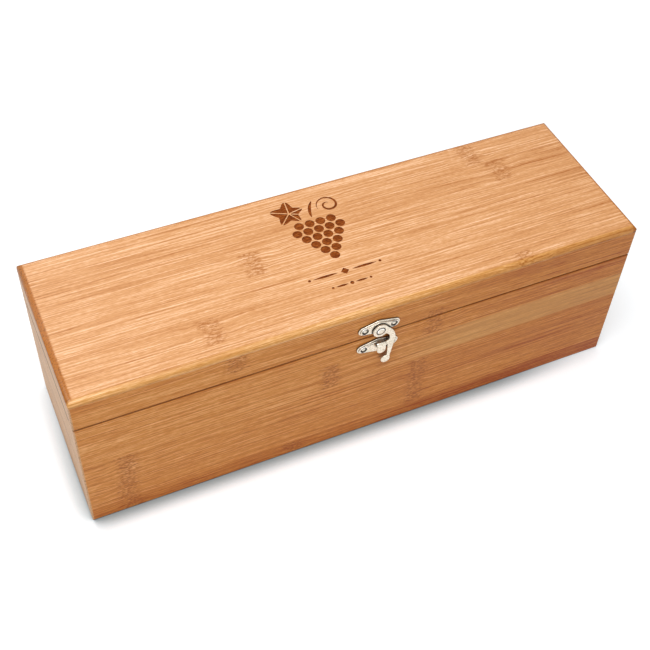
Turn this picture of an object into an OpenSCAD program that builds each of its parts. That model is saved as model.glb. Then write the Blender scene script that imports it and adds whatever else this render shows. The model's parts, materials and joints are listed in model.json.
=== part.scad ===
// Wooden wine box: a laminated bamboo box with a hinged lid and a swing-hook latch.
// The origin is the middle of the underside. +X runs along the box, the front faces -Y, +Z is up.

/* [Box] */
// Length of the box
box_l = 356; // [300:1:420]
// Width of the box, from front to back
box_w = 109.5; // [100:0.5:140]
// Height of the base, from the floor to its upper edge
base_h = 90.8; // [84:0.1:120]
// Height of the lid, from its lower edge to its top
lid_h = 23.8; // [20:0.1:40]
// Gap between the base and the shut lid
seam_gap = 0.4; // [0.2:0.1:0.8]
// Thickness of the four walls of the base
wall_t = 9; // [8:0.5:12]
// Thickness of the four rails of the lid
rail_t = 9; // [8:0.5:12]
// Thickness of the lid's top board
top_t = 4.5; // [3:0.5:8]
// Thickness of the bottom board
bottom_t = 6; // [4:0.5:9]
// Width of the rebate in the walls that holds the bottom board
rebate_w = 4; // [2:0.5:6]

/* [Edges] */
// Radius of the lid's top edges
top_r = 4; // [2:0.5:6]
// Radius of the upright corners
corner_r = 1.2; // [0.5:0.1:3]
// Radius that eases the edges above and below the seam
seam_r = 1; // [0.4:0.1:2]
// Radius that eases the bottom edges
foot_r = 1.2; // [0.5:0.1:3]

/* [Bottle rests] */
// Diameter of the bottle's body
bottle_d = 76; // [70:0.5:82]
// Diameter of the bottle's neck
neck_d = 30; // [26:0.5:34]
// Clearance round the bottle in its rests
bottle_gap = 0.5; // [0.25:0.05:1.5]
// Height of the bottle's underside above the bottom board
bottle_lift = 4; // [2:0.5:8]
// Thickness of the rest under the bottle's body
body_rest_t = 12; // [8:0.5:20]
// Thickness of the rest under the bottle's neck
neck_rest_t = 10; // [8:0.5:20]
// Height of the body rest above the bottle's underside
body_rest_rise = 22; // [14:0.5:30]
// Distance from the left end wall to the body rest
body_rest_x = 62; // [40:1:90]
// Distance from the right end wall to the neck rest
neck_rest_x = 48; // [30:1:70]

/* [Hinges] */
// Distance of each hinge's middle from the end of the box
hinge_end = 62; // [53:1:80]
// Length of a hinge
hinge_l = 32; // [26:0.5:44]
// Length of the middle knuckle, on the lid's leaf
knuckle_l = 12; // [8:0.5:14]
// Width of a leaf, let into the edge of its board
leaf_w = 7; // [6:0.25:7.5]
// Thickness of a leaf
leaf_t = 0.9; // [0.7:0.1:1.2]
// Radius of the hinge's barrel
barrel_r = 2; // [1.8:0.1:2.5]
// Radius of the hinge's pin
pin_r = 0.9; // [0.7:0.05:1.1]
// Radial clearance of the pin in its barrel
pin_gap = 0.05; // [0.02:0.01:0.08]
// Gap between the barrel and what passes round it
barrel_gap = 0.3; // [0.2:0.05:0.5]
// Gap between neighbouring knuckles
knuckle_gap = 0.3; // [0.2:0.05:0.5]
// Radius of the heads on the pin
pin_head_r = 1.5; // [1.3:0.05:1.75]
// Thickness of the heads on the pin
pin_head_t = 0.5; // [0.3:0.05:1]
// Gap between the hinge's ends and the heads on the pin
pin_head_gap = 0.1; // [0.05:0.05:0.3]
// Reach of the stop heels from the pin's axis
heel_reach = 5; // [4:0.1:7]
// Thickness of the stop heels
heel_t = 1; // [0.8:0.05:1.2]
// Distance of the lid heel's ends inside its knuckle
heel_in = 0.5; // [0.3:0.1:1]
// Angle at which the heels stop the lid
stop_deg = 97.5; // [92:0.5:100]

/* [Hinge screws] */
// Distance between the two screws of a leaf
screw_pitch = 21; // [16:0.5:22]
// Radius of a screw's head
screw_head_r = 1.7; // [1.5:0.05:2]
// Radius of a screw's shank
screw_r = 0.8; // [0.6:0.05:1]
// Length of a screw below its leaf
screw_l = 8; // [5:0.5:12]
// Width of the slot in a screw's head
screw_slot_w = 0.5; // [0.3:0.05:0.6]
// Depth of the slot in a screw's head
screw_slot_h = 0.4; // [0.2:0.05:0.5]

/* [Latch plates] */
// Distance of the latch's middle from the box's middle
latch_x = 3; // [-20:0.5:20]
// Length of a plate
plate_l = 26.4; // [24:0.1:30]
// Width of a plate across its middle
plate_w = 10.8; // [10:0.1:12]
// Radius of a plate's ends
plate_end_r = 3; // [2.5:0.1:4]
// Thickness of a plate's rim
plate_t = 1; // [0.6:0.1:1.2]
// Width of a plate's rim
rim_w = 1; // [0.6:0.1:1.5]
// Rise of a plate's raised field above its rim
field_h = 0.8; // [0.4:0.1:1]
// Height of the lid plate's middle above the lid's lower edge
lid_plate_z = 7.6; // [6.8:0.1:9]
// Depth of the catch plate's middle below the base's upper edge
catch_plate_z = 8.1; // [7.6:0.1:9]

/* [Latch nails] */
// Distance between the two nails of a plate
nail_pitch = 18.4; // [17:0.1:19]
// Radius of a nail's head
nail_head_r = 1.6; // [1.3:0.05:1.8]
// Gap round a nail's head in its pocket
pocket_gap = 0.5; // [0.3:0.05:0.6]
// Height of a nail's domed head
nail_head_h = 0.7; // [0.4:0.05:1]
// Radius of a nail's shank
nail_r = 0.7; // [0.5:0.05:0.9]
// Length of a nail in the wood
nail_l = 6; // [4:0.5:7]
// Radial clearance of a nail or screw in its hole
nail_gap = 0.05; // [0.02:0.01:0.1]

/* [Swing hook] */
// Thickness of the hook
hook_t = 1.2; // [1:0.1:1.5]
// Gap between the hook and the plates behind it
hook_gap = 0.4; // [0.3:0.05:0.6]
// Radius of the hook's head, round the rivet
hook_head_r = 4.8; // [4.2:0.1:5]
// Drop of the rivet below the lid plate's middle
rivet_drop = 1.3; // [0.5:0.1:2]
// Radius of the rivet's shank
rivet_r = 1.3; // [1:0.05:1.5]
// Radius of the rivet's head
rivet_head_r = 2.3; // [2:0.05:2.6]
// Height of the rivet's domed head
rivet_head_h = 0.9; // [0.6:0.05:1.2]
// Reach of the bow, the hook's outer edge, to the right of the rivet
bow_reach = 10.3; // [9.6:0.1:11]
// Radius of the bow
bow_r = 14.5; // [13:0.1:16]
// Drop of the bow's middle below the rivet
bow_drop = 10; // [9:0.1:11]
// Radius of the mouth that takes the bill's neck
mouth_r = 5.4; // [5:0.1:5.8]
// Offset of the mouth's middle from the rivet
mouth_x = 1; // [0.6:0.1:1.4]
// Drop of the mouth's middle below the rivet
mouth_drop = 8.3; // [7.8:0.1:8.8]
// Width of the jaw under the bill's neck
jaw_w = 3; // [2.2:0.1:3.4]
// Distance of the jaw's tip inside the bill's left edge
jaw_tip_in = 0.6; // [0.2:0.1:1.2]
// Width of the tail where it leaves the bow
tail_root_w = 3.8; // [3.2:0.1:4.4]
// Width of the tail at its waist, above the finger pad
tail_w = 2.2; // [1.8:0.1:3]
// Height of the waist above the finger pad's middle
waist_h = 4; // [3:0.1:5]
// Radius of the finger pad
pad_r = 3; // [2.6:0.1:3.4]
// Offset of the finger pad's middle from the rivet
pad_x = 5; // [4:0.1:6]
// Drop of the finger pad's middle below the rivet
pad_drop = 27.4; // [25:0.1:30]

/* [Catch bill] */
// Offset of the bill's middle from the latch's middle
bill_x = 0.8; // [0:0.1:1.2]
// Width of the bill
bill_w = 5.5; // [5:0.1:6]
// Width of the bill's neck
neck_w = 4.3; // [3.5:0.1:4.6]
// Thickness of the bill's metal
bill_t = 1; // [0.8:0.05:1.2]
// Radius inside the bend between the neck and the bill
bend_r = 0.5; // [0.3:0.05:0.8]
// Height of the neck's middle above the catch plate's middle
neck_z = 4; // [3.4:0.1:4.2]
// Length of the bill below the neck's middle
bill_l = 7.6; // [6:0.1:9]
// Gap between the neck or bill and the hook
bill_gap = 0.4; // [0.3:0.05:0.6]

/* [Hidden] */
$fn = 64;
left = -1;
right = 1;
below = -1;
above = 1;
// Overshoot of a cut past the face that it goes through
over = 1;
// Depth of a plate's straight flanks inside the rounds that they touch
flank_in = 0.02;

bamboo = [0.72, 0.50, 0.30];
top_bamboo = [0.91, 0.68, 0.47];
end_bamboo = [0.80, 0.66, 0.52];
nickel = [0.82, 0.80, 0.76];

lid_z = base_h + seam_gap;
top_z = lid_z + lid_h;
rail_z = top_z - top_t;
front_y = -box_w / 2;
back_y = box_w / 2;
base_inner_l = box_l - 2 * wall_t;
base_inner_w = box_w - 2 * wall_t;
lid_inner_w = box_w - 2 * rail_t;

// The bottle lies along X on its two rests
bottle_z = bottom_t + bottle_lift + bottle_d / 2;

// The hinge pins lie along X, behind the seam
hinge_x = box_l / 2 - hinge_end;
hinge_y = back_y + barrel_r + barrel_gap;
hinge_z = base_h + seam_gap / 2;
outer_knuckle_l = (hinge_l - knuckle_l) / 2 - knuckle_gap;
leaf_y = back_y - leaf_w;
screw_y = back_y - leaf_w / 2;

// The latch is laid out on the front face: x across, z up, and depth t out from the wood
field_t = plate_t + field_h;
hook_back_t = field_t + hook_gap;
hook_face_t = hook_back_t + hook_t;
lid_plate_mid = lid_z + lid_plate_z;
catch_plate_mid = base_h - catch_plate_z;
rivet_z = lid_plate_mid - rivet_drop;
neck_mid = catch_plate_mid + neck_z;
bill_back_t = hook_face_t + bill_gap;
bill_face_t = bill_back_t + bill_t;
// The neck as seen from the rivet, which sets how far out the jaw runs
neck_drop = rivet_z - neck_mid;
neck_far_x = max(abs(bill_x - neck_w / 2), abs(bill_x + neck_w / 2));
jaw_r = norm([neck_far_x, neck_drop + bill_t / 2]) + bill_gap;

// ---------- shapes that more than one piece uses ----------

// Upright rectangle with its own radius at the lower and at the upper corners
module eased_rect(width, low, high, low_r, high_r) {
    x = width / 2;
    polygon([
        [low_r - x, low], [x - low_r, low], [x, low + low_r], [x, high - high_r],
        [x - high_r, high], [high_r - x, high], [-x, high - high_r], [-x, low + low_r]
    ]);
    for (side = [left, right]) {
        translate([side * (x - low_r), low + low_r]) circle(low_r);
        translate([side * (x - high_r), high - high_r]) circle(high_r);
    }
}

// Block of the box's length and width with every outer edge eased
module eased_block(low, high, low_r, high_r) {
    intersection() {
        rotate([90, 0, 90]) linear_extrude(box_l + 2 * over, center = true)
            eased_rect(box_w, low, high, low_r, high_r);
        rotate([90, 0, 0]) linear_extrude(box_w + 2 * over, center = true)
            eased_rect(box_l, low, high, low_r, high_r);
        translate([0, 0, low - over]) linear_extrude(high - low + 2 * over)
            eased_rect(box_l, front_y, back_y, corner_r, corner_r);
    }
}

// Box from its lowest to its highest corner
module block(low, high) {
    translate(low) cube(high - low);
}

// Rod or bore along X, centred on x
module rod_x(r, length, x, y, z) {
    translate([x, y, z]) rotate([0, 90, 0]) cylinder(r = r, h = length, center = true);
}

// Places its children on the front face: their x runs across, y up and z out from the wood
module on_front(x, z, depth) {
    translate([x, front_y - depth, z]) rotate([90, 0, 0]) children();
}

// Spherical cap of base radius r and height h, standing on z = 0
module dome(r, h) {
    ball_r = (r * r + h * h) / (2 * h);
    intersection() {
        translate([0, 0, h - ball_r]) sphere(ball_r);
        cylinder(r = r, h = h);
    }
}

// ---------- base ----------

module base_shape() {
    eased_block(0, base_h, foot_r, seam_r);
}

// Room for the bottom board in the lower inside edges of the walls
module bottom_space(low) {
    x = base_inner_l / 2 + rebate_w;
    y = base_inner_w / 2 + rebate_w;
    block([-x, -y, low], [x, y, bottom_t]);
}

module long_wall(y0) {
    difference() {
        intersection() {
            base_shape();
            block([-box_l / 2, y0, 0], [box_l / 2, y0 + wall_t, base_h]);
        }
        bottom_space(-over);
    }
}

module end_wall(x0) {
    difference() {
        intersection() {
            base_shape();
            block([x0, -base_inner_w / 2, 0], [x0 + wall_t, base_inner_w / 2, base_h]);
        }
        bottom_space(-over);
    }
}

module front_panel() {
    color(bamboo) difference() {
        long_wall(front_y);
        nail_holes(catch_plate_mid);
    }
}

module back_panel() {
    color(bamboo) difference() {
        long_wall(back_y - wall_t);
        hinge_housings(below);
    }
}

module left_end_panel() {
    color(end_bamboo) end_wall(-box_l / 2);
}

module right_end_panel() {
    color(end_bamboo) end_wall(box_l / 2 - wall_t);
}

module bottom_panel() {
    color(bamboo) bottom_space(0);
}

// ---------- lid ----------

module lid_shape() {
    eased_block(lid_z, top_z, seam_r, top_r);
}

module lid_part(low, high) {
    intersection() {
        lid_shape();
        block(low, high);
    }
}

module lid_top_panel() {
    color(top_bamboo) lid_part([-box_l / 2, front_y, rail_z], [box_l / 2, back_y, top_z]);
}

module lid_front_rail() {
    color(bamboo) difference() {
        lid_part([-box_l / 2, front_y, lid_z], [box_l / 2, front_y + rail_t, rail_z]);
        nail_holes(lid_plate_mid);
    }
}

module lid_back_rail() {
    color(bamboo) difference() {
        lid_part([-box_l / 2, back_y - rail_t, lid_z], [box_l / 2, back_y, rail_z]);
        hinge_housings(above);
    }
}

module lid_end_rail(x0) {
    color(end_bamboo)
        lid_part([x0, -lid_inner_w / 2, lid_z], [x0 + rail_t, lid_inner_w / 2, rail_z]);
}

module lid_left_rail() {
    lid_end_rail(-box_l / 2);
}

module lid_right_rail() {
    lid_end_rail(box_l / 2 - rail_t);
}

// ---------- bottle rests ----------

// Board across the box with a round notch for the bottle
module bottle_rest(x0, thickness, top, bottle_r) {
    color(bamboo) difference() {
        block([x0, -base_inner_w / 2, bottom_t], [x0 + thickness, base_inner_w / 2, top]);
        rod_x(bottle_r + bottle_gap, thickness + 2 * over, x0 + thickness / 2, 0, bottle_z);
    }
}

module body_rest() {
    bottle_rest(body_rest_x - base_inner_l / 2, body_rest_t,
        bottom_t + bottle_lift + body_rest_rise, bottle_d / 2);
}

module neck_rest() {
    bottle_rest(base_inner_l / 2 - neck_rest_x - neck_rest_t, neck_rest_t, bottle_z, neck_d / 2);
}

// ---------- hinges ----------

// Leaf of one hinge as a plate: level is below for the base's leaf and above for the lid's
module leaf_plate(x, level, length, y1) {
    z0 = level == below ? base_h - leaf_t : lid_z;
    block([x - length / 2, leaf_y, z0], [x + length / 2, y1, z0 + leaf_t]);
}

// Places its children at the two screws of a leaf, pointing out of the wood
module at_screws(x, level) {
    face_z = level == below ? base_h : lid_z;
    for (side = [left, right])
        translate([x + side * screw_pitch / 2, screw_y, face_z])
            rotate([level == below ? 0 : 180, 0, 0]) children();
}

// Countersunk shape with its flat face at z = 0
module countersunk(gap, length) {
    taper = screw_head_r - screw_r;
    translate([0, 0, -length]) cylinder(r = screw_r + gap, h = length);
    translate([0, 0, -taper]) cylinder(r1 = screw_r + gap, r2 = screw_head_r + gap, h = taper);
}

// Housings and screw holes for both hinges, in the back board or the lid's back rail
module hinge_housings(level) {
    for (side = [left, right]) {
        x = side * hinge_x;
        leaf_plate(x, level, hinge_l, back_y + over);
        at_screws(x, level) countersunk(nail_gap, leaf_t + screw_l + nail_gap);
    }
}

// Knuckle round the pin, with its arm to the leaf
module knuckle(x, length, level) {
    rod_x(barrel_r, length, x, hinge_y, hinge_z);
    leaf_plate(x, level, length, hinge_y);
}

// Bar that stops the lid: it runs out from the pin's axis, with its face on that axis
module stop_heel(x, length, start, angle, face) {
    translate([x - length / 2, hinge_y, hinge_z]) rotate([angle, 0, 0])
        translate([0, start, face == below ? -heel_t : 0]) cube([length, heel_reach - start, heel_t]);
}

module pin_bore(x) {
    rod_x(pin_r + pin_gap, hinge_l + 2 * over, x, hinge_y, hinge_z);
}

module base_leaf(x) {
    outer_x = (hinge_l - outer_knuckle_l) / 2;
    color(nickel) difference() {
        union() {
            leaf_plate(x, below, hinge_l, back_y);
            for (side = [left, right]) {
                knuckle(x + side * outer_x, outer_knuckle_l, below);
                stop_heel(x + side * outer_x, outer_knuckle_l, pin_r + pin_gap, 0, below);
            }
            stop_heel(x, hinge_l, barrel_r + barrel_gap, 0, below);
        }
        pin_bore(x);
        at_screws(x, below) countersunk(nail_gap, leaf_t + over);
    }
}

module lid_leaf(x) {
    color(nickel) difference() {
        union() {
            leaf_plate(x, above, hinge_l, back_y);
            knuckle(x, knuckle_l, above);
            stop_heel(x, knuckle_l - 2 * heel_in, pin_r + pin_gap, stop_deg, above);
        }
        pin_bore(x);
        at_screws(x, above) countersunk(nail_gap, leaf_t + over);
    }
}

module hinge_pin(x) {
    // The shank runs from the middle of one head to the middle of the other
    head_x = (hinge_l + pin_head_t) / 2 + pin_head_gap;
    color(nickel) {
        rod_x(pin_r, 2 * head_x, x, hinge_y, hinge_z);
        for (side = [left, right])
            rod_x(pin_head_r, pin_head_t, x + side * head_x, hinge_y, hinge_z);
    }
}

module leaf_screws(level) {
    color(nickel) for (side = [left, right])
        at_screws(side * hinge_x, level) difference() {
            countersunk(0, leaf_t + screw_l);
            translate([0, 0, (over - screw_slot_h) / 2])
                cube([2 * screw_head_r + over, screw_slot_w, over + screw_slot_h], center = true);
        }
}

module left_hinge_base_leaf() {
    base_leaf(-hinge_x);
}

module right_hinge_base_leaf() {
    base_leaf(hinge_x);
}

module left_hinge_lid_leaf() {
    lid_leaf(-hinge_x);
}

module right_hinge_lid_leaf() {
    lid_leaf(hinge_x);
}

module left_hinge_pin() {
    hinge_pin(-hinge_x);
}

module right_hinge_pin() {
    hinge_pin(hinge_x);
}

module base_leaf_screws() {
    leaf_screws(below);
}

module lid_leaf_screws() {
    leaf_screws(above);
}

// ---------- latch ----------

// Lozenge with a round bulge in its middle and a round end left and right, drawn in by inset
module lozenge(inset) {
    mid_r = plate_w / 2 - inset;
    end_r = plate_end_r - inset;
    end_x = plate_l / 2 - plate_end_r;
    // Angle at which a straight flank touches both rounds. The flanks lie a hair inside them.
    lean = acos((mid_r - end_r) / end_x);
    mid = (mid_r - flank_in) * [cos(lean), sin(lean)];
    end = [end_x, 0] + (end_r - flank_in) * [cos(lean), sin(lean)];
    circle(mid_r);
    for (side = [left, right]) translate([side * end_x, 0]) circle(end_r);
    polygon([
        end, mid, [-mid[0], mid[1]], [-end[0], end[1]],
        -end, -mid, [mid[0], -mid[1]], [end[0], -end[1]]
    ]);
}

// Plate with a rim and a raised field, with a pocket and a hole for each nail, standing on z = 0
module latch_sheet() {
    difference() {
        union() {
            linear_extrude(plate_t) lozenge(0);
            linear_extrude(field_t) lozenge(rim_w);
        }
        at_nails() {
            translate([0, 0, -over]) cylinder(r = nail_r + nail_gap, h = plate_t + 2 * over);
            translate([0, 0, plate_t]) cylinder(r = nail_head_r + pocket_gap, h = field_h + over);
        }
    }
}

module at_nails() {
    for (side = [left, right]) translate([side * nail_pitch / 2, 0, 0]) children();
}

// Holes for the nails of the plate whose middle is at this height
module nail_holes(z) {
    on_front(latch_x, z, 0) at_nails()
        translate([0, 0, -nail_l - nail_gap]) cylinder(r = nail_r + nail_gap, h = nail_l + nail_gap + over);
}

module plate_nails(z) {
    color(nickel) on_front(latch_x, z, 0) at_nails() {
        translate([0, 0, -nail_l]) cylinder(r = nail_r, h = nail_l + plate_t);
        translate([0, 0, plate_t]) dome(nail_head_r, nail_head_h);
    }
}

module latch_plate() {
    color(nickel) difference() {
        on_front(latch_x, lid_plate_mid, 0) latch_sheet();
        on_front(latch_x, rivet_z, -over) cylinder(r = rivet_r + nail_gap, h = field_t + 2 * over);
    }
}

module latch_plate_nails() {
    plate_nails(lid_plate_mid);
}

module catch_plate_nails() {
    plate_nails(catch_plate_mid);
}

module hook_rivet() {
    color(nickel) on_front(latch_x, rivet_z, 0) {
        translate([0, 0, nail_gap]) cylinder(r = rivet_r, h = hook_face_t);
        translate([0, 0, hook_face_t + nail_gap]) dome(rivet_head_r, rivet_head_h);
    }
}

// Outline of the hook as seen from the front, with the rivet at its origin
module hook_outline() {
    bow_x = bow_reach - bow_r;
    jaw_drop = jaw_r + jaw_w;
    tip_x = bill_x - bill_w / 2 + jaw_tip_in;
    // The tail leaves the bow where the bow's edge has dropped as far as the jaw's
    root_x = bow_x + sqrt(pow(bow_r, 2) - pow(jaw_drop - bow_drop, 2));
    tail_x = pad_x + pad_r;
    // The tail's outer edge ends a little inside the pad
    foot_x = tail_x - tail_w / 4;
    difference() {
        union() {
            circle(hook_head_r);
            intersection() {
                translate([bow_x, -bow_drop]) circle(bow_r);
                union() {
                    intersection() {
                        circle(jaw_drop);
                        translate([tip_x, -jaw_drop]) square([bow_r, jaw_drop + hook_head_r]);
                    }
                    translate([root_x - tail_root_w, -jaw_drop]) square([bow_r, jaw_drop]);
                }
            }
        }
        hook_opening();
    }
    polygon([
        [root_x, -jaw_r], [root_x - tail_root_w, -jaw_r], [root_x - tail_root_w, -jaw_drop],
        [tail_x - tail_w, waist_h - pad_drop], [pad_x, -pad_drop],
        [foot_x, -pad_drop], [tail_x, waist_h - pad_drop], [root_x, -jaw_drop]
    ]);
    translate([pad_x, -pad_drop]) circle(pad_r);
}

// The hook's mouth, and its way out to the left above the jaw. The jaw's edge keeps one distance
// from the rivet, so that the bill's neck stays clear of it as the hook swings.
module hook_opening() {
    difference() {
        intersection() {
            circle(jaw_r);
            union() {
                translate([mouth_x, -mouth_drop]) circle(mouth_r);
                translate([mouth_x - bow_r, -jaw_r]) square([bow_r, jaw_r + hook_head_r]);
            }
        }
        circle(hook_head_r);
    }
}

module swing_hook() {
    color(nickel) on_front(latch_x, rivet_z, hook_back_t) difference() {
        linear_extrude(hook_t) hook_outline();
        translate([0, 0, -over]) cylinder(r = rivet_r + nail_gap, h = hook_t + 2 * over);
    }
}

// Bill seen from its side: x runs out from the wood and y up from the plate's middle
module bill_profile() {
    bend = [bill_back_t - bend_r, neck_z - bill_t / 2 - bend_r];
    translate([bill_back_t, neck_z - bill_l]) square([bill_t, bend[1] - neck_z + bill_l]);
    intersection() {
        difference() {
            translate(bend) circle(bend_r + bill_t);
            translate(bend) circle(bend_r);
        }
        translate(bend) square(bend_r + bill_t);
    }
}

// Neck that stands out from the plate, and the bill that hangs from it in front of the hook
module bill() {
    tip_z = neck_z - bill_l + bill_w / 2;
    translate([bill_x - neck_w / 2, neck_z - bill_t / 2, 0]) cube([neck_w, bill_t, bill_back_t - bend_r]);
    intersection() {
        translate([bill_x, 0, 0]) rotate([0, -90, 0]) linear_extrude(bill_w, center = true) bill_profile();
        linear_extrude(bill_face_t + over) translate([bill_x, 0]) {
            translate([-bill_w / 2, tip_z]) square([bill_w, bill_l]);
            translate([0, tip_z]) circle(bill_w / 2);
        }
    }
}

module catch_plate() {
    color(nickel) on_front(latch_x, catch_plate_mid, 0) {
        latch_sheet();
        bill();
    }
}

front_panel();
back_panel();
left_end_panel();
right_end_panel();
bottom_panel();
lid_top_panel();
lid_front_rail();
lid_back_rail();
lid_left_rail();
lid_right_rail();
body_rest();
neck_rest();
left_hinge_base_leaf();
right_hinge_base_leaf();
left_hinge_lid_leaf();
right_hinge_lid_leaf();
left_hinge_pin();
right_hinge_pin();
base_leaf_screws();
lid_leaf_screws();
latch_plate();
latch_plate_nails();
hook_rivet();
swing_hook();
catch_plate();
catch_plate_nails();
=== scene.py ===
# %% [markdown]
# # Dressing a bamboo wine box
# The boards, hinges and latch of this box come from a CAD model, finished in size and place. This
# lesson gives them their looks: bamboo with its strips, fibres and knuckles, a burnt ornament in the
# lid, and bright nickel with rolled edges. Lengths in the text and in the named values are
# millimetres. Blender itself works in metres, so a length is multiplied by MM where it is used.

# %% The model that everything is built around
import json
import math

import bmesh
import bpy
from mathutils import Matrix, Vector

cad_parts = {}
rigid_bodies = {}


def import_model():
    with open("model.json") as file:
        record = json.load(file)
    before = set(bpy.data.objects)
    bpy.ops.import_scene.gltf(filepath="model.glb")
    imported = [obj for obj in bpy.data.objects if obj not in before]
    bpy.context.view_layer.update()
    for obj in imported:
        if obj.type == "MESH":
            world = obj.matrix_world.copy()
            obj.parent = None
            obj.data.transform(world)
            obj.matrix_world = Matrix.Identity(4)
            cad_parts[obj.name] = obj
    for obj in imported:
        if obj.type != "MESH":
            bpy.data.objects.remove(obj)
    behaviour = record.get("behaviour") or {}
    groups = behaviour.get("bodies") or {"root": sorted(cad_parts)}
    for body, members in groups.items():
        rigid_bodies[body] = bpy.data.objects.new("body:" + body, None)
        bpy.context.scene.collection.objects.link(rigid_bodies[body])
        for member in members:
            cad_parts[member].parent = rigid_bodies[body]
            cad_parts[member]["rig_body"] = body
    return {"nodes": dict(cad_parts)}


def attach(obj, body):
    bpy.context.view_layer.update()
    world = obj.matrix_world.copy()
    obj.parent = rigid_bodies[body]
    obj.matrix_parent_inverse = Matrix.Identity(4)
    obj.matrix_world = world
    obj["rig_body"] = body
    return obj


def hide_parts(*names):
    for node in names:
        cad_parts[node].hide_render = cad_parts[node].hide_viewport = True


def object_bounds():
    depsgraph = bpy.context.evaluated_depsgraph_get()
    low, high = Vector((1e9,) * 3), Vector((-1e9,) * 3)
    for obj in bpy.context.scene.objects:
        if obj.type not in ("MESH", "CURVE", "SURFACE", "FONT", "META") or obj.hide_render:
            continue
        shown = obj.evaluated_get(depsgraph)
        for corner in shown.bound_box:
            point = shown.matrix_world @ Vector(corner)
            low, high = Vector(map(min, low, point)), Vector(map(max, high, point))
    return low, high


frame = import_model()
nodes = frame["nodes"]
cad_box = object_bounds()
scene = bpy.context.scene
MM = 0.001
X, Y, Z = range(3)
BOX_L, BOX_D, BOX_H = (size / MM for size in cad_box[1] - cad_box[0])
print(f"The model is {BOX_L:.1f} x {BOX_D:.1f} x {BOX_H:.1f} mm, in {len(nodes)} nodes.")


def extent(name, axis):
    """Where a node begins and where it ends along one axis, in mm."""
    places = [vertex.co[axis] / MM for vertex in nodes[name].data.vertices]
    return min(places), max(places)


LEFT_X, RIGHT_X = extent("lid_top_panel", X)
FRONT_Y, BACK_Y = extent("lid_top_panel", Y)
BOARD_FOOT = extent("lid_top_panel", Z)[0]
SEAM_Z = extent("front_panel", Z)[1]
print(f"The base ends at z = {SEAM_Z:.1f} mm, and the top board begins at {BOARD_FOOT:.1f} mm.")

# %% [markdown]
# ## The camera
# The photographer stood in front of the box, a little to its left, and looked down on it from about
# 70 cm. The three angles and the distance below put every corner of the box where the photograph has
# it. A camera looks along its own -Z, so its matrix is made of the directions to its right, upwards
# and back.

# %% The camera, where the photographer stood
AIM = Vector((-6.7, -4.8, 50)) * MM
DISTANCE = 704 * MM
AZIMUTH = math.radians(-26.42)
ELEVATION = math.radians(49.15)
ROLL = math.radians(3.25)
LENS = 61.65

back = Vector((
    math.sin(AZIMUTH) * math.cos(ELEVATION),
    -math.cos(AZIMUTH) * math.cos(ELEVATION),
    math.sin(ELEVATION),
))
right = Vector((0, 0, 1)).cross(back).normalized()
upright = Matrix((right, back.cross(right), back)).transposed()
camera = bpy.data.objects.new("camera", bpy.data.cameras.new("camera"))
camera.data.lens = LENS
camera.matrix_world = (
    Matrix.Translation(AIM + back * DISTANCE) @ (Matrix.Rotation(ROLL, 3, back) @ upright).to_4x4()
)
scene.collection.objects.link(camera)
scene.camera = camera
scene.view_settings.view_transform = "Standard"
print("The camera stands at", [round(v / MM) for v in camera.location], "mm.")

# %% [markdown]
# ## Shader arithmetic
# Wood grain is worked out from the place on the board, with a lot of small sums. Drawn by hand they
# would be a tangle of Math nodes. The class below wraps one output socket, so that plain Python
# arithmetic adds those nodes, and its method node adds any other kind. A name that ends in STEP is the
# pair of values that the function smooth goes between: where a mask is 0, and where it is 1.

# %% A socket that sums can be written with
class Wire:
    """An output socket of a shader tree. Without a socket, it is a place to start a tree from."""

    def __init__(self, tree, socket=None):
        self.tree = tree
        self.socket = socket

    def node(self, kind, values=(), out=0, stops=(), **settings):
        """Adds a node. Values are numbers or wires for its inputs, and stops are a colour ramp's."""
        made = self.tree.nodes.new("ShaderNode" + kind)
        for name, setting in settings.items():
            setattr(made, name, setting)
        for _ in stops[2:]:
            made.color_ramp.elements.new(1)
        for number, (place, colour) in enumerate(stops):
            made.color_ramp.elements[number].position = place
            made.color_ramp.elements[number].color = colour
        for key, value in dict(values).items():
            if isinstance(value, Wire):
                self.tree.links.new(value.socket, made.inputs[key])
            else:
                made.inputs[key].default_value = value
        return Wire(self.tree, made.outputs[out] if made.outputs else None)

    def feed(self, shader, name):
        """Links this wire to a socket of a node that is there already."""
        self.tree.links.new(self.socket, shader.inputs[name])

    def math(self, operation, *others):
        return self.node("Math", enumerate((self, *others)), operation=operation)

    def __add__(self, other):
        return self.math("ADD", other)

    def __sub__(self, other):
        return self.math("SUBTRACT", other)

    def __rsub__(self, other):
        return self * -1 + other

    def __mul__(self, other):
        return self.math("MULTIPLY", other)

    def __truediv__(self, other):
        return self.math("DIVIDE", other)

    __radd__ = __add__
    __rmul__ = __mul__


def smooth(value, zero_at, one_at):
    """A soft step from 0 at one value to 1 at another, which may be the greater or the less."""
    low, high = min(zero_at, one_at), max(zero_at, one_at)
    ends = {3: 0, 4: 1} if zero_at < one_at else {3: 1, 4: 0}
    return value.node(
        "MapRange", {0: value, 1: low, 2: high, **ends}, interpolation_type="SMOOTHSTEP"
    )


def mixed(share, first, second):
    """Two colours, mixed by this share of the second."""
    return share.node("Mix", {0: share, 6: first, 7: second}, out=2, data_type="RGBA")


def srgb(red, green, blue):
    """A colour as a screen shows it, from 0 to 255, in the linear light that shaders count in."""
    shares = [value / 255 for value in (red, green, blue)]
    return (*(s / 12.92 if s <= 0.04045 else ((s + 0.055) / 1.055) ** 2.4 for s in shares), 1)


# %% [markdown]
# ## Light
# The box was photographed on white, with one large soft light overhead and a weaker one behind,
# whose sheen lies on the left of the lid. They are balanced so that a colour renders about as it is
# written.

# %% A white studio with two soft lights
SKY = 0.36
OVERHEAD = {"watts": 6.6, "size": 600, "place": (-230, -320, 1100)}
BEHIND = {"watts": 3.0, "size": 600, "place": (-300, 800, 1000)}


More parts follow.
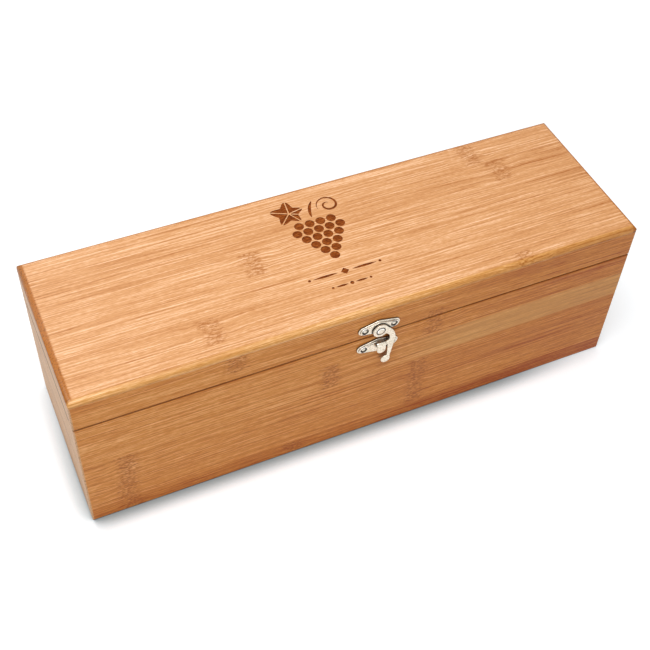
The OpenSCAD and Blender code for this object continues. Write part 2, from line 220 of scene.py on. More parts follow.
def seen_directly(start):
    """1 for rays that show the background itself: from the camera, off a gloss or through glass."""
    names = ("Is Camera Ray", "Is Glossy Ray", "Is Transmission Ray")
    camera_ray, glossy_ray, clear_ray = (start.node("LightPath", out=name) for name in names)
    return camera_ray.math("MAXIMUM", glossy_ray).math("MAXIMUM", clear_ray)


def soft_light(name, watts, size, place):
    """A square lamp of this size and place in mm, turned towards the box."""
    lamp = bpy.data.objects.new(name, bpy.data.lights.new(name, "AREA"))
    lamp.data.energy = watts
    lamp.data.size = size * MM
    lamp.location = Vector(place) * MM
    lamp.rotation_euler = (-lamp.location).to_track_quat("-Z", "Y").to_euler()
    scene.collection.objects.link(lamp)
    print(f"{name}: {watts} W, {lamp.location.length:.2f} m away")


world = bpy.data.worlds.new("studio")
world.use_nodes = True
world.node_tree.nodes.clear()
start = Wire(world.node_tree)
strength = SKY + seen_directly(start) * (1 - SKY)
sky = start.node("Background", {"Color": (1, 1, 1, 1), "Strength": strength})
start.node("OutputWorld", {"Surface": sky})
scene.world = world
soft_light("overhead_light", **OVERHEAD)
soft_light("back_light", **BEHIND)

# %% [markdown]
# The floor is only pale. What the camera sees of it is lifted to white, and darkened again close to
# the box, where a product photograph keeps its narrow contact shadow. In the photograph that shadow is
# deepest in front, half as deep at the left end, and fades out round the right end and the back. Light
# that the wood throws on the paper would turn it red, so the paper is a little cooler there. Only
# the floor's size, and the distances over which it turns wholly white, are in metres.

# %% The floor
FLOOR_HALF = 6
FLOOR_TONE = 0.82
FLOOR_LIFT = 0.46
LIFT_TONE = (0.94, 1, 1.05, 1)
FAR_LIFT = 0.5
FAR_STEP = (0.35, 1.6)
CONTACT_REACH = 15.5
CONTACT_DEPTH = 0.44
CONTACT_STEP = (1.0, 0.5)
LEAST_CONTACT = 0.2
RIGHT_STEP = (RIGHT_X + 7, RIGHT_X - 88)
BACK_STEP = (BACK_Y + 30, BACK_Y - 85)
LEFT_STEP = (LEFT_X + 2, LEFT_X - 2)
LEFT_LOSS = 0.5
COOLING = (0.17, 0.02, -0.03)

shape = bmesh.new()
bmesh.ops.create_grid(shape, x_segments=1, y_segments=1, size=FLOOR_HALF)
floor = bpy.data.objects.new("floor", bpy.data.meshes.new("floor"))
shape.to_mesh(floor.data)
shape.free()
scene.collection.objects.link(floor)

paper = bpy.data.materials.new("white_paper")
paper.use_nodes = True
paper.node_tree.nodes.clear()
start = Wire(paper.node_tree)
seen = seen_directly(start)
near = start.node("AmbientOcclusion", {"Distance": CONTACT_REACH * MM}, out="AO", samples=16)
contact = smooth(near, *CONTACT_STEP)
spot = start.node("TexCoord", out="Object")
x, y = (spot.node("SeparateXYZ", {0: spot}, out=axis) * (1 / MM) for axis in (X, Y))
side_share = smooth(x, *RIGHT_STEP) * smooth(y, *BACK_STEP) * (1 - smooth(x, *LEFT_STEP) * LEFT_LOSS)
contact = contact * (side_share * (1 - LEAST_CONTACT) + LEAST_CONTACT)
away = spot.node("VectorMath", {0: spot}, out="Value", operation="LENGTH")
# Painted shadow: what the camera sees of the floor is darkened and cooled close to the box.
painted_shadow = seen * contact
tone = FLOOR_TONE * (1 - painted_shadow * CONTACT_DEPTH)
lift = seen * (FLOOR_LIFT * (1 - contact) + smooth(away, *FAR_STEP) * FAR_LIFT)
tint = {channel: tone * (1 - painted_shadow * loss) for channel, loss in enumerate(COOLING)}
matt = start.node("BsdfDiffuse", {"Color": start.node("CombineColor", tint)})
glow = start.node("Emission", {"Color": LIFT_TONE, "Strength": lift})
start.node("OutputMaterial", {"Surface": start.node("AddShader", {0: matt, 1: glow})})
floor.data.materials.append(paper)
print(f"The floor reaches {FLOOR_HALF} m each way.")

# %% [markdown]
# ## Bamboo
# A bamboo board is glued up from strips about 20 mm wide. Each strip has its own tone and its own
# fibres, which run the whole length as fine streaks. Once or twice in a strip comes a knuckle, where
# the cane had a joint: a darker, mottled patch one or two centimetres long. A board's ends, where the
# fibres are cut across, have a tone of their own. All of this is worked out from the place in the box,
# so that it runs on from one board to the next where the lid is sawn off.

# %% The parts of a pattern
def new_material(name, **constants):
    """A material, its shader node and a place to start its tree from."""
    material = bpy.data.materials.new(name)
    material.use_nodes = True
    shader = material.node_tree.nodes["Principled BSDF"]
    for socket, value in constants.items():
        shader.inputs[socket.replace("_", " ")].default_value = value
    return material, shader, Wire(material.node_tree)


def place_in_mm(start):
    """The place on the box, as three wires in millimetres."""
    place = start.node("TexCoord", out="Object")
    place = place.node("VectorMath", {0: place, "Scale": 1 / MM}, operation="SCALE")
    return [place.node("SeparateXYZ", {0: place}, out=axis) for axis in (X, Y, Z)]


def facings(start):
    """For each axis, 1 on a face that lies square across it, and 0 on one that runs along it."""
    normal = start.node("TexCoord", out="Normal")
    return [normal.node("SeparateXYZ", {0: normal}, out=axis).math("ABSOLUTE") for axis in (X, Y, Z)]


def noise(u, v, w, detail=2.0, roughness=0.5):
    """Noise round zero, with about one wave for each unit of u, v and w."""
    where = u.node("CombineXYZ", {0: u, 1: v, 2: w})
    values = {"Vector": where, "Scale": 1.0, "Detail": detail, "Roughness": roughness}
    return u.node("TexNoise", values) - 0.5


def streaks(place, waves, detail=2.0, roughness=0.5):
    """Noise with this many waves in a millimetre along the fibres, and across them."""
    u, v, w = place
    along, across = waves
    return noise(u * along, v * across, w * across, detail, roughness)


def relief(start, strength, depth, height):
    """A bumpy surface of this strength, whose height goes from 0 to this depth in mm."""
    return start.node("Bump", {"Strength": strength, "Distance": depth * MM, "Height": height})


# %% [markdown]
# The edge of a knuckle is ragged, because each fibre meets it a little further on. Inside it the
# fibres break off and turn aside, so the wood is speckled both lighter and darker, and the lacquer
# sinks into it. The fibres still sway a few centimetres away. A knuckle is given by its place along
# the board and by the two edges of its strip.

# %% Knuckles
KNUCKLE_HALF = 9
KNUCKLE_CORE = 2
NEAR_HALF = 32
BOW = 3
RAGGED = 11
RAGGED_WAVES = (0.12, 0.8)
STRIP_EDGE = 0.5


def knuckle_masks(place, knuckles):
    """1 in the knuckles of a face, and 1 near them."""
    u, v, _ = place
    ragged = streaks(place, RAGGED_WAVES, roughness=0.6) * RAGGED
    knuckle = near = v * 0
    for along, low, high in knuckles:
        bow = (v - (low + high) / 2) / (high - low)
        off = (u - along + bow * bow * BOW + ragged).math("ABSOLUTE")
        inside = smooth(v, low, low + STRIP_EDGE) * smooth(v, high, high - STRIP_EDGE)
        knuckle = knuckle.math("MAXIMUM", smooth(off, KNUCKLE_HALF, KNUCKLE_CORE) * inside)
        near = near.math("MAXIMUM", smooth(off, NEAR_HALF, 0) * inside)
    return knuckle, near


# %% [markdown]
# Fibres come in several sizes: long soft ones, finer grain, short dashes, open pores, and a few dark
# veins that fade in and out. Each is stretched noise, with few waves along the board and many across
# it. Every strip is shifted far along its own length, so that no streak runs on into the next strip.
# All of it adds up to one tone round 0.5, which a colour ramp turns into wood.

# %% How strong each part of the pattern is
FIBRES = 1.5
GRAIN = 1.3
DASHES = 0.9
PORES = 0.2
BANDS = 0.25
VEINS = 0.36
SPECKS = 2.8
SPECK_LIMIT = 0.07
TURNED = 2.2
SWAY = 2
SWIRL = 9
JOINT_LINE = 0.14
JOINT_HALF = 0.4
JOINT_BLUR = 0.15
KNUCKLE_SHADE = 0.04
MIDDLE_TONE = 0.54
STRIP_SHIFT = 317
PORE_STEP = (0.08, 0.28)
VEIN_STEP = (0.065, 0)
FADE_STEP = (-0.15, 0.15)

# %% How fine each part of the pattern is, in waves to a millimetre along and across
FIBRE_WAVES = (0.008, 1)
GRAIN_WAVES = (0.045, 1.7)
DASH_WAVES = (0.3, 1.8)
PORE_WAVES = (0.07, 2.8)
BAND_WAVES = (0.005, 0.2)
VEIN_WAVES = (0.005, 0.45)
FADE_WAVES = (0.012, 0.3)
SPECK_WAVES = (0.45, 1.1)
TURN_WAVES = (0.2, 0.25)
SWAY_WAVES = (0.01, 0.06)
SWIRL_WAVES = (0.04, 0.1)
DOT_WAVES = (0.5, 1.1)
ELSEWHERE = 500 / 3


def strip_tones(v, first_joint, width, tones):
    """The tone of the strip that v lies in: the first tone lies below the first joint."""
    tone = v * 0 + tones[0]
    for number, (last, this) in enumerate(zip(tones, tones[1:])):
        joint = first_joint + number * width
        tone = tone + smooth(v, joint - JOINT_BLUR, joint + JOINT_BLUR) * (this - last)
    return tone


class Pattern:
    """The pattern of one face: its tone for the colour, and its parts for gloss and relief."""

    def __init__(self, place, strips, knuckles):
        u, v, w = place
        strip_place = (v - strips["first_joint"]) / strips["width"]
        strip = strip_place.math("FLOOR")
        off_middle = (strip_place - strip - 0.5).math("ABSOLUTE")
        self.joint = smooth(off_middle, 0.5 - JOINT_HALF / strips["width"], 0.5)
        self.knuckle, near = knuckle_masks(place, knuckles)
        self.specks = streaks(place, SPECK_WAVES, detail=1, roughness=0.6).math("MINIMUM", SPECK_LIMIT)

        turned = streaks(place, TURN_WAVES) * self.knuckle * TURNED
        turned = turned + streaks(place, SWIRL_WAVES) * near * SWIRL
        bent_u = u + strip * STRIP_SHIFT
        bent_v = v + streaks(place, SWAY_WAVES) * SWAY + turned
        bent = (bent_u, bent_v, w)
        self.fibres = streaks(bent, FIBRE_WAVES, detail=1)
        self.grain = streaks(bent, GRAIN_WAVES, detail=1)
        self.pores = smooth(streaks(bent, PORE_WAVES, detail=0), *PORE_STEP)
        dashes = streaks(bent, DASH_WAVES, detail=1)
        bands = streaks(bent, BAND_WAVES)
        veins = smooth(streaks(bent, VEIN_WAVES, detail=0).math("ABSOLUTE"), *VEIN_STEP)
        fades = streaks((bent_u, bent_v + ELSEWHERE, w), FADE_WAVES, detail=0)
        veins = veins * smooth(fades, *FADE_STEP)

        tone = self.fibres * FIBRES + self.grain * GRAIN + dashes * DASHES + bands * BANDS
        tone = tone - self.pores * PORES - veins * VEINS + MIDDLE_TONE
        tone = tone + strip_tones(v, **strips) - self.joint * JOINT_LINE
        self.tone = tone + self.knuckle * (self.specks * SPECKS - KNUCKLE_SHADE)


# %% [markdown]
# The ramp holds the wood's own colour in its middle. Darker fibres lose more green than red, and more
# blue than green, because old wood turns orange as it darkens. A ramp ends at 0 and 1, while tones go
# beyond them, so tones are squeezed towards the middle first, and the ramp spread by as much.

# %% From tone to colour
RAMP_SHARE = 0.5
GREEN_SPREAD = 1.3
BLUE_SPREAD = 1.6


def shades(red, green, blue, spread):
    """A ramp's stops round one colour. Fibres differ by this spread in red, and by more in the rest."""
    stops = []
    for place in (0, 0.5, 1):
        change = spread * (place - 0.5) / RAMP_SHARE
        greener = green + GREEN_SPREAD * change
        bluer = max(0, blue + BLUE_SPREAD * change)
        stops.append((place, srgb(red + change, greener, bluer)))
    return stops


def wood_colour(tone, wood):
    """The colour of wood of this tone."""
    squeezed = (tone - 0.5) * RAMP_SHARE + 0.5
    return squeezed.node("ValToRGB", {0: squeezed}, stops=shades(*wood))


# %% [markdown]
# The top board is rolled over along its front edge, where the wood turned golden. A painted highlight
# lies on the roll where it begins, and painted shade makes it darker towards the right. At the board's
# ends and along its back the cut fibres drank the lacquer and turned orange, with dark dots where the
# vessels of the cane are open. At the board's foot the dots run together.

# %% The edges of the top board
ROLL_STEP = (0.99, 0.94)
ROLL_HIGHLIGHT = 0.24
ROLL_HIGHLIGHT_STEP = (0.995, 0.96)
ROLL_HIGHLIGHT_END_STEP = (0.74, 0.86)
ROLL_FALLOFF = 0.4
ROLL_FALLOFF_STEP = (-60, 90)
LEFT_END_STEP = (LEFT_X + 4.1, LEFT_X + 2.7)
CORNER_STEP = (FRONT_Y + 0.75, FRONT_Y + 3.75)
RIGHT_END_STEP = (RIGHT_X - 3.4, RIGHT_X - 2)
BACK_EDGE_STEP = (BACK_Y - 3.75, BACK_Y - 2.15)
BACK_SOAKED = 0.8
FOOT_STEP = (BOARD_FOOT + 2, BOARD_FOOT + 0.5)


def rolled_edge(colour, u, level, tone, rolled_wood):
    """The colour, turned golden where the board rolls over, with a painted highlight where the roll
    begins and painted shade towards the right. Level is 1 on its flat top.
    """
    # Painted highlight near the start of the roll, and painted shade towards the right.
    glow = smooth(level, *ROLL_HIGHLIGHT_STEP) * smooth(level, *ROLL_HIGHLIGHT_END_STEP) * ROLL_HIGHLIGHT
    golden = wood_colour(tone + glow - smooth(u, *ROLL_FALLOFF_STEP) * ROLL_FALLOFF, rolled_wood)
    return mixed(smooth(level, *ROLL_STEP), colour, golden)


def soaked_edges(u, v):
    """1 at the right end and at the left one, but for its golden corner, and less along the back."""
    left = smooth(u, *LEFT_END_STEP) * smooth(v, *CORNER_STEP)
    ends = left.math("MAXIMUM", smooth(u, *RIGHT_END_STEP))
    return ends.math("MAXIMUM", smooth(v, *BACK_EDGE_STEP) * BACK_SOAKED)


# %% [markdown]
# The sawn seam between the lid and the base, and every tight corner, get painted shade. An Ambient
# Occlusion node finds the corners. It would find the seam as well, but not evenly, so the seam's shade
# is a dark line drawn on the outer faces, at the height where the base ends.

# %% Painted shade in the seam and in the corners
SEAM_HALF = 0.25
SEAM_FADE = 0.5
SEAM_SHADE = 0.8
OUTER_STEP = (0.98, 0.8)
CORNER_SHADE_REACH = 3.5
CORNER_SHADE_STEP = (0.85, 0.35)


def seam_and_corner_shade(start, height, level, corner_shade, seam_half):
    """How much painted shade a side board gets at this height, in its corners and along the seam. Level
    is 1 on its sawn edge and 0 on its outer face.
    """
    # Painted shade in tight corners, found by Ambient Occlusion, and a painted dark line along the
    # seam.
    open_air = start.node("AmbientOcclusion", {"Distance": CORNER_SHADE_REACH * MM}, out="AO", samples=8)
    seam = smooth((height - SEAM_Z).math("ABSOLUTE"), seam_half + SEAM_FADE, seam_half)
    seam = seam * smooth(level, *OUTER_STEP) * SEAM_SHADE
    return (smooth(open_air, *CORNER_SHADE_STEP) * corner_shade).math("MAXIMUM", seam)


# %% [markdown]
# Now the parts come together. The colour is laid on in this order: the wood, a paler strip, the scars
# of the knuckles, the rolled edge with its painted highlight, the cut ends with their dots, and the
# painted shade in the seam and the corners. Fibres and specks stand up from the surface by a few
# hundredths of a millimetre, and pores and joints sink into it.

# %% The bamboo itself
SPECULAR = 0.3
PALE_LOW_EDGE = 1.5
PALE_HIGH_EDGE = 3
SCAR = 0.36
SCAR_SPECKS = 2.2
CUT_STEP = (0.1, 0.4)
SOAKED = 0.92
DOTTED = 0.55
DOT_STEP = (0, 0.16)
DOT_TONE = srgb(104, 52, 18)
PAINTED_SHADE_TONE = srgb(116, 56, 0)
DULLING = 0.12
FIBRE_RISE = 0.6
SPECK_RISE = 1.5
PORE_DROP = 0.25
JOINT_DROP = 0.3
BAMBOO_RELIEF = (0.45, 0.06)


def bamboo(name, along, across, strips, knuckles, wood, scar_tone, end_tone, rough,
           painted_falloff=(0, 0), corner_shade=0, seam_half=SEAM_HALF, rolled_wood=None, pale=None):
    """Lacquered bamboo whose strips run along one axis and lie side by side across another.

    Painted falloff is painted shade: the place along the fibres where the wood begins to darken to the
    right, and by how much it does.
    """
    material, shader, start = new_material(name, Roughness=rough, Specular_IOR_Level=SPECULAR)
    third = X + Y + Z - along - across
    xyz = place_in_mm(start)
    faces = facings(start)
    place = [xyz[axis] for axis in (along, across, third)]
    u, v, w = place
    pattern = Pattern(place, strips, knuckles)
    # Painted shade: the wood darkens to the right, as the light falls off.
    tone = pattern.tone - smooth(u, painted_falloff[0], BOX_L / 2) * painted_falloff[1]

    colour = wood_colour(tone, wood)
    if pale:
        band = smooth(v, pale["low"], pale["low"] + PALE_LOW_EDGE)
        band = band * smooth(v, pale["high"], pale["high"] - PALE_HIGH_EDGE)
        band = band * smooth(u, pale["from_u"], pale["to_u"])
        colour = mixed(band * pale["share"], colour, pale["tone"])
    colour = mixed(pattern.knuckle * (SCAR - pattern.specks * SCAR_SPECKS), colour, scar_tone)

    cut = smooth(faces[along], *CUT_STEP)
    dots = smooth(streaks(place, DOT_WAVES, roughness=0.6), *DOT_STEP)
    if rolled_wood:
        colour = rolled_edge(colour, u, faces[third], tone, rolled_wood)
        cut = soaked_edges(u, v)
        dots = dots.math("MAXIMUM", smooth(w, *FOOT_STEP))
    colour = mixed(cut * SOAKED, colour, end_tone)
    colour = mixed(cut * dots * DOTTED, colour, DOT_TONE)
    # Painted shade in the corners and along the seam.
    if corner_shade:
        colour = mixed(seam_and_corner_shade(start, v, faces[Z], corner_shade, seam_half), colour, PAINTED_SHADE_TONE)
    colour.feed(shader, "Base Color")

    ((pattern.pores + pattern.grain) * DULLING + rough).feed(shader, "Roughness")
    height = (pattern.fibres + pattern.grain) * FIBRE_RISE - pattern.pores * PORE_DROP
    height = height + pattern.knuckle * pattern.specks * SPECK_RISE - pattern.joint * JOINT_DROP
    relief(start, *BAMBOO_RELIEF, height).feed(shader, "Normal")
    return material


# %% [markdown]
# ## The boards
# The boards are right as the CAD model has them, with their eased edges, so they only get their
# material. Outside, the top is the palest, and the front the most golden, with a dark strip at its
# foot and a pale one higher up on the right. Both are painted darker towards the right, as the light
# falls off.
# The knuckles on the top and the front are where the photograph shows them. The other sides have
# their own.

# %% Strips and knuckles
TOP_STRIPS = {
    "first_joint": -45.75,
    "width": 19.5,
    "tones": [0.08, -0.02, 0.02, 0, -0.1, 0.06, 0.02],
}
TOP_KNUCKLES = [
    (113, 32.5, 52), (124, 13, 32.5), (-51, -6.5, 13), (-91, -45.5, -26), (100, -56, -46),
]
SIDE_STRIPS = {
    "first_joint": 11.5,
    "width": 21.5,
    "tones": [-0.44, -0.04, -0.07, 0.06, 0, 0],
}
FRONT_KNUCKLES = [
    (-152, 33, 54.5), (-154, 11.5, 33), (-152, 0, 11.5), (-26, 54.5, 76), (34, 33, 54.5),
    (34, 11.5, 33), (-49, 0, 11.5), (41, 76, 97.5), (-84.5, 97.5, 119),
]
END_KNUCKLES = [(-20, 33, 54.5), (31, 54.5, 76), (8, 76, 97.5)]
INNER_KNUCKLES = [(-70, -26.25, -6.75), (40, 13, 32.5), (84, -45.5, -26)]

# %% Bamboo for each side of the box
PALE_STRIP = {
    "low": 54.5, "high": 76, "from_u": 0, "to_u": 70, "share": 0.34, "tone": srgb(222, 178, 112),
}
top_bamboo = bamboo(
    "top_bamboo", X, Y, TOP_STRIPS, TOP_KNUCKLES, wood=(235, 171, 113, 56),
    scar_tone=srgb(192, 122, 66), end_tone=srgb(188, 110, 28), rough=0.38,
    painted_falloff=(60, 0.12), rolled_wood=(234, 168, 92, 56),
)
front_bamboo = bamboo(
    "front_bamboo", X, Z, SIDE_STRIPS, FRONT_KNUCKLES, wood=(224, 146, 64, 56),
    scar_tone=srgb(172, 96, 34), end_tone=srgb(226, 178, 130), rough=0.45,
    painted_falloff=(-BOX_L / 4, 0.36), corner_shade=0.75, pale=PALE_STRIP,
)
# The end boards are paler and greyer than the front: partly their own wood, and partly a painted sheen
# such as gloss at a low angle would lay on them.
end_bamboo = bamboo(
    "end_bamboo", Y, Z, SIDE_STRIPS, END_KNUCKLES, wood=(209, 153, 86, 48),
    scar_tone=srgb(186, 126, 74), end_tone=srgb(196, 138, 84), rough=0.4,
    corner_shade=0.75, seam_half=2,
)
inner_bamboo = bamboo(
    "inner_bamboo", X, Y, TOP_STRIPS, INNER_KNUCKLES, wood=(226, 180, 132, 44),
    scar_tone=srgb(190, 132, 88), end_tone=srgb(206, 152, 102), rough=0.55,
)
BOARDS = {
    front_bamboo: ["front_panel", "back_panel", "lid_front_rail", "lid_back_rail"],
    end_bamboo: ["left_end_panel", "right_end_panel", "lid_left_rail", "lid_right_rail"],
    inner_bamboo: ["bottom_panel", "body_rest", "neck_rest"],
    top_bamboo: ["lid_top_panel"],
}
for material, names in BOARDS.items():
    for name in names:
        nodes[name].data.materials.clear()
        nodes[name].data.materials.append(material)
    print(material.name, "is on", ", ".join(names))

# %% [markdown]
# ## Copies of the CAD nodes with softened edges
# A CAD edge is perfectly sharp, and stamped or turned edges never are. A node's mesh is loose
# triangles, so a copy of it is merged, its flat faces are joined up and cut again, and every sharp
# edge gets a small bevel. The bevels aren't clamped, because the shortest edge of the whole mesh would
# then set their width. The copy stands for the node in the same place.

# %% Softened copies
MERGE = 0.001
CLOSE = 0.04
FLAT = math.radians(0.4)
SHARP = math.radians(28)
CREASED = math.radians(40)


def merged(name, reach):
    """A copy of a node's mesh as a bmesh, with points closer than this in mm made one."""
    shape = bmesh.new()
    shape.from_mesh(nodes[name].data)
    bmesh.ops.remove_doubles(shape, verts=shape.verts, dist=reach * MM)
    return shape


def softened(name, width, segments=2):
    """A merged copy of a node, with its sharp edges rounded off by this width in mm."""
    shape = merged(name, CLOSE)
    bmesh.ops.dissolve_limit(shape, angle_limit=FLAT, verts=shape.verts, edges=shape.edges)
    many_sided = [face for face in shape.faces if len(face.verts) > 4]
    bmesh.ops.triangulate(shape, faces=many_sided, quad_method="BEAUTY", ngon_method="BEAUTY")
    sharp = [e for e in shape.edges if len(e.link_faces) == 2 and e.calc_face_angle() > SHARP]
    bmesh.ops.bevel(
        shape, geom=sharp, offset=width * MM, offset_type="OFFSET", segments=segments,
        profile=0.5, affect="EDGES", material=-1, clamp_overlap=False,
    )
    return shape


def add_piece(name, shape, material, stands_for):
    """Makes an object of a bmesh, which rides with the CAD node that it stands for."""
    mesh = bpy.data.meshes.new(name)
    shape.to_mesh(mesh)
    shape.free()
    mesh.materials.append(material)
    mesh.shade_smooth()
    mesh.set_sharp_from_angle(angle=CREASED)
    piece = bpy.data.objects.new(name, mesh)
    scene.collection.objects.link(piece)
    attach(piece, nodes[stands_for]["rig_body"])
    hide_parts(stands_for)
    print(f"{name}: {len(mesh.vertices)} vertices, for {stands_for}")
    return piece


# %% [markdown]
# ## The ornament in the lid
# A laser burns such an ornament into the lid, as shallow brown hollows with sharp edges. A painted
# mask would do from afar, but it has no depth when light falls across it. So each shape of the design
# is a stamp, a flat face extruded into a prism, and a Boolean modifier presses them all into a copy
# of the board. The hollows get the stamps' own burnt material. The design is a bunch of grapes with a
# leaf and a tendril, and two small dividers below it.

# %% Burnt bamboo
CHAR_WAVES = (0.35, 1.3, 1)
CHAR_CONTRAST = 2.4
CHAR_RELIEF = (0.4, 0.08)

burnt_bamboo, shader, start = new_material("burnt_bamboo", Roughness=0.85, Specular_IOR_Level=0.15)
waves = [place * count for place, count in zip(place_in_mm(start), CHAR_WAVES)]
char = noise(*waves, detail=3, roughness=0.7)
charred = char.node("ValToRGB", {0: char * CHAR_CONTRAST + 0.5}, stops=[
    (0, srgb(92, 38, 6)), (0.5, srgb(140, 66, 16)), (1, srgb(190, 106, 42)),
])
charred.feed(shader, "Base Color")
relief(start, *CHAR_RELIEF, char).feed(shader, "Normal")

# %% Outlines of the design, in mm
ROUND = 2 * math.pi


def disc(x, y, radius, points=28):
    """A berry or a dot."""
    turns = [ROUND * n / points for n in range(points)]
    return [(x + radius * math.cos(a), y + radius * math.sin(a)) for a in turns]


def spindle(x, y, length, width, points=32):
    """A level stroke that runs to a point at both ends."""
    outline = []
    for n in range(points):
        a = ROUND * n / points
        outline.append((x + length / 2 * math.cos(a), y + width / 2 * math.sin(a) * abs(math.sin(a))))
    return outline


def curl(x, y, radius, inner, width, begin, sweep, points=40):
    """A stroke that winds in from this radius to an inner one, thick in its middle."""
    sides = []
    for side in (1, -1):
        for n in range(points):
            share = n / (points - 1) if side > 0 else 1 - n / (points - 1)
            a = begin + sweep * share
            r = radius + (inner - radius) * share + side * width / 2 * math.sin(math.pi * share) ** 0.6
            sides.append((x + r * math.cos(a), y + r * math.sin(a)))
    del sides[points], sides[-1]
    return sides


LOBES = 5
LEAF_CUTS = [math.radians(angle) for angle in (-180, -144, -72, 0, 72, 144, 180)]


def leaf(x, y, size, turn, vein=0.7, points=14):
    """A vine leaf of five pointed lobes, cut along its veins into parts."""
    parts = []
    for low, high in zip(LEAF_CUTS, LEAF_CUTS[1:]):
        out = vein / 2 / math.sin((high - low) / 2)
        middle = turn + (low + high) / 2
        foot = (x + out * math.cos(middle), y + out * math.sin(middle))
        part = [foot]
        for n in range(points):
            a = low + (high - low) * n / (points - 1)
            notch = abs(math.sin(LOBES / 2 * a)) ** 1.3
            r = size * (1 + 0.15 * math.cos(a)) * (1 - 0.4 * notch)
            part.append((foot[0] + r * math.cos(turn + a), foot[1] + r * math.sin(turn + a)))
        parts.append(part)
    return parts


# %% The design
MIDDLE = -4
BERRY_R = 3
BERRIES_APART = 7
ROWS_APART = 5.9
ROWS = (4, 5, 4, 3, 2, 1)
BUNCH_TOP = 22
DIVIDER_Y = -21.5
SMALL_DIVIDER_Y = -31.5

design = leaf(MIDDLE - 12, 34.5, size=9.6, turn=math.radians(155))
design.append(curl(
    MIDDLE + 20, 26.5, radius=20, inner=20, width=2,
    begin=math.radians(180), sweep=math.radians(-42),
))
design.append(curl(
    MIDDLE + 13.5, 33.5, radius=7.5, inner=1.8, width=1.5,
    begin=math.radians(195), sweep=math.radians(-500),
))
for row, count in enumerate(ROWS):
    for n in range(count):
        along = (n - (count - 1) / 2) * BERRIES_APART
        design.append(disc(MIDDLE + along, BUNCH_TOP - row * ROWS_APART, BERRY_R))
for side in (1, -1):
    design.append(spindle(MIDDLE + side * 12.5, DIVIDER_Y, length=16, width=1.7))
    design.append(disc(MIDDLE + side * 22.5, DIVIDER_Y, radius=0.9))
    design.append(spindle(MIDDLE + side * 6.2, SMALL_DIVIDER_Y, length=8, width=1.4))
    design.append(disc(MIDDLE + side * 12, SMALL_DIVIDER_Y, radius=0.8))
design.append(disc(MIDDLE, DIVIDER_Y, radius=2.6, points=4))
design.append(disc(MIDDLE, SMALL_DIVIDER_Y, radius=1.2))
print(f"The design has {len(design)} shapes.")

# %% [markdown]
# A second modifier weighs the normals by area, because the small faces in the rounded corners would
# tilt those of the long ones. Both are applied at once: the lid takes the mesh that Blender works out
# for it, and the stamps are removed, since they are a tool and not a part of the box.

# %% Pressing the design into the lid
BURN_DEPTH = 0.35
STAMP_ABOVE = 1


def stamp(stamps, outline):
    """Adds a prism with this outline, from the bottom of the hollows to above the lid."""
    points = [stamps.verts.new((x * MM, y * MM, (BOX_H - BURN_DEPTH) * MM)) for x, y in outline]
    made = bmesh.ops.extrude_face_region(stamps, geom=[stamps.faces.new(points)])["geom"]
    raised = [part for part in made if isinstance(part, bmesh.types.BMVert)]
    bmesh.ops.translate(stamps, verts=raised, vec=(0, 0, (BURN_DEPTH + STAMP_ABOVE) * MM))


shape = bmesh.new()
for outline in design:
    stamp(shape, outline)
bmesh.ops.recalc_face_normals(shape, faces=shape.faces)
stamps = bpy.data.objects.new("stamps", bpy.data.meshes.new("stamps"))
shape.to_mesh(stamps.data)
shape.free()
stamps.data.materials.append(burnt_bamboo)
scene.collection.objects.link(stamps)

lid = add_piece("lid_top_engraved", merged("lid_top_panel", MERGE), top_bamboo, "lid_top_panel")
press = lid.modifiers.new("press", "BOOLEAN")
press.operation = "DIFFERENCE"
press.object = stamps
press.solver = "EXACT"
press.material_mode = "TRANSFER"
even = lid.modifiers.new("even", "WEIGHTED_NORMAL")
even.weight = 100
even.keep_sharp = True
bpy.context.view_layer.update()
pressed = lid.evaluated_get(bpy.context.evaluated_depsgraph_get())
engraved = bpy.data.meshes.new_from_object(pressed)
lid.modifiers.clear()
lid.data = engraved
bpy.data.objects.remove(stamps)
print("The engraved lid has", len(engraved.polygons), "faces, of", engraved.materials.keys())

# %% [markdown]
# ## Nickel
# The hinges and the latch are stamped steel with bright nickel plating. On white paper, bright metal
# mirrors white all over and looks like plaster. What gives the latch its shape here is dark in its
# pressed hollows, partly tarnish and partly painted shade and reflection, and a painted highlight on
# its edges. An Ambient Occlusion node finds both: the hollows as it is, and the edges when it looks
# inwards. The side walls get painted shade too, and a ring of painted shade lies round the hook's
# rivet.

# %% Nickel
BRIGHT = srgb(246, 237, 220)
DULL = srgb(204, 190, 166)
HINGE_BRIGHT = srgb(232, 221, 203)
STEEL_BRIGHT = srgb(236, 226, 210)
SHADED = srgb(208, 196, 174)
EDGE_HIGHLIGHT = srgb(255, 252, 246)
TARNISH_AND_SHADE = srgb(30, 24, 20)
CLOUD_WAVES = (1.2, 1.2)
FINE_WAVES = (4, 4)
CLOUD_STEP = (-0.2, 0.24)
HOLLOW_REACH = 1.8
HOLLOW_STEP = (0.9, 0.62)
HOLLOW_BLUR = 0.2
EDGE_REACH = 0.5
EDGE_STEP = (0.85, 0.6)
WALL_SHADE_STEP = (0.8, 0.3)
CREASE_R = 2.65
CREASE_SHADE_STEP = (0.5, 0.2)
TARNISH_AND_SHADE_SHARE = 0.96
TARNISH_AND_SHADE_METAL = 0.5
TARNISH_AND_SHADE_DULLING = 0.3
CLOUD_DULLING = 0.1
FINE_DULLING = 0.08
NICKEL_RELIEF = (0.4, 0.06)


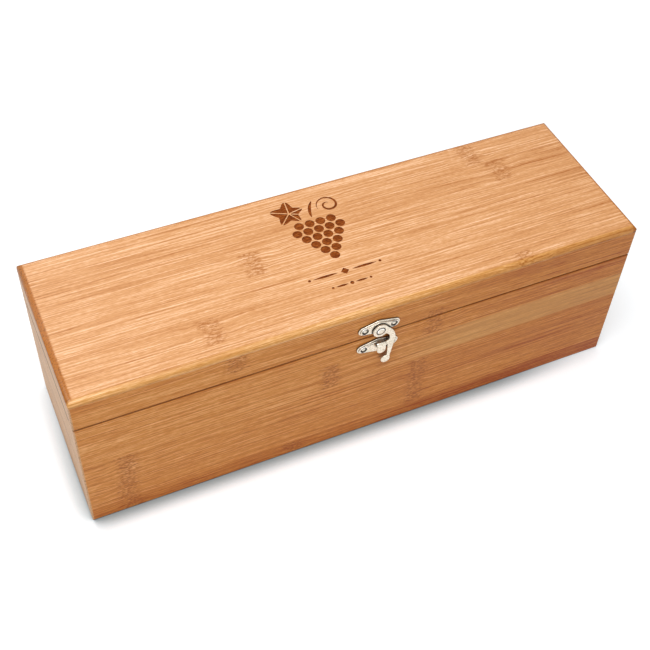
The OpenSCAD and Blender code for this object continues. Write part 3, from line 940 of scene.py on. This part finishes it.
def nickel(name, tone, dull_tone, rough, wall_shade=0, shaded_crease=None):
    """Bright nickel plating, with tarnish and painted shade in its hollows, a painted highlight on its
    edges, and painted shade on its side walls.

    A shaded crease is a ring of painted shade in the XZ plane: the place of its middle in mm, and its
    radius.
    """
    material, shader, start = new_material(name)
    place = place_in_mm(start)
    cloud = streaks(place, CLOUD_WAVES, roughness=0.6)
    fine = streaks(place, FINE_WAVES)
    outside, inside = (
        start.node("AmbientOcclusion", {"Distance": reach * MM}, out="AO", samples=12, inside=inwards)
        for reach, inwards in ((HOLLOW_REACH, False), (EDGE_REACH, True))
    )
    # Tarnish and painted shade in the hollows, painted shade on the side walls and in the crease.
    hollow = smooth(outside + cloud * HOLLOW_BLUR, *HOLLOW_STEP)
    painted_wall_shade = smooth(facings(start)[Y], *WALL_SHADE_STEP) * wall_shade
    dark = hollow.math("MAXIMUM", painted_wall_shade)
    if shaded_crease:
        middle_x, middle_z, radius = shaded_crease
        off_x, off_z = place[X] - middle_x, place[Z] - middle_z
        off = (off_x * off_x + off_z * off_z).math("SQRT") - radius
        dark = dark.math("MAXIMUM", smooth(off.math("ABSOLUTE"), *CREASE_SHADE_STEP))
    colour = mixed(smooth(cloud, *CLOUD_STEP), tone, dull_tone)
    # Painted highlight on the edges.
    colour = mixed(smooth(inside, *EDGE_STEP), colour, EDGE_HIGHLIGHT)
    mixed(dark * TARNISH_AND_SHADE_SHARE, colour, TARNISH_AND_SHADE).feed(shader, "Base Color")
    (1 - dark * (1 - TARNISH_AND_SHADE_METAL)).feed(shader, "Metallic")
    uneven = cloud * CLOUD_DULLING + fine * FINE_DULLING + dark * TARNISH_AND_SHADE_DULLING
    (uneven + rough).feed(shader, "Roughness")
    relief(start, *NICKEL_RELIEF, cloud).feed(shader, "Normal")
    return material


# %% Nickel for the latch, the hinges and the fasteners
rivet_x, rivet_z = (sum(extent("hook_rivet", axis)) / 2 for axis in (X, Z))
print(f"The hook turns about x = {rivet_x:.2f}, z = {rivet_z:.2f} mm.")
latch_nickel = nickel("latch_nickel", BRIGHT, DULL, 0.2, wall_shade=0.25)
ring = (rivet_x, rivet_z, CREASE_R)
hook_nickel = nickel("hook_nickel", BRIGHT, DULL, 0.2, wall_shade=0.25, shaded_crease=ring)
hinge_nickel = nickel("hinge_nickel", HINGE_BRIGHT, SHADED, 0.2)
nickel_steel = nickel("nickel_steel", STEEL_BRIGHT, SHADED, 0.22)

# %% The latch and the hinges, with softened edges
LEAVES = [
    "left_hinge_base_leaf", "right_hinge_base_leaf", "left_hinge_lid_leaf", "right_hinge_lid_leaf",
]
TURNED_PARTS = [
    "left_hinge_pin", "right_hinge_pin", "base_leaf_screws", "lid_leaf_screws",
    "latch_plate_nails", "catch_plate_nails", "hook_rivet",
]
add_piece("latch_plate_pressed", softened("latch_plate", 0.22), latch_nickel, "latch_plate")
add_piece("catch_plate_pressed", softened("catch_plate", 0.15), latch_nickel, "catch_plate")
add_piece("swing_hook_pressed", softened("swing_hook", 0.28, segments=3), hook_nickel, "swing_hook")
for name in LEAVES:
    add_piece(name + "_pressed", softened(name, 0.12), hinge_nickel, name)
for name in TURNED_PARTS:
    add_piece(name + "_turned", softened(name, 0.08), nickel_steel, name)
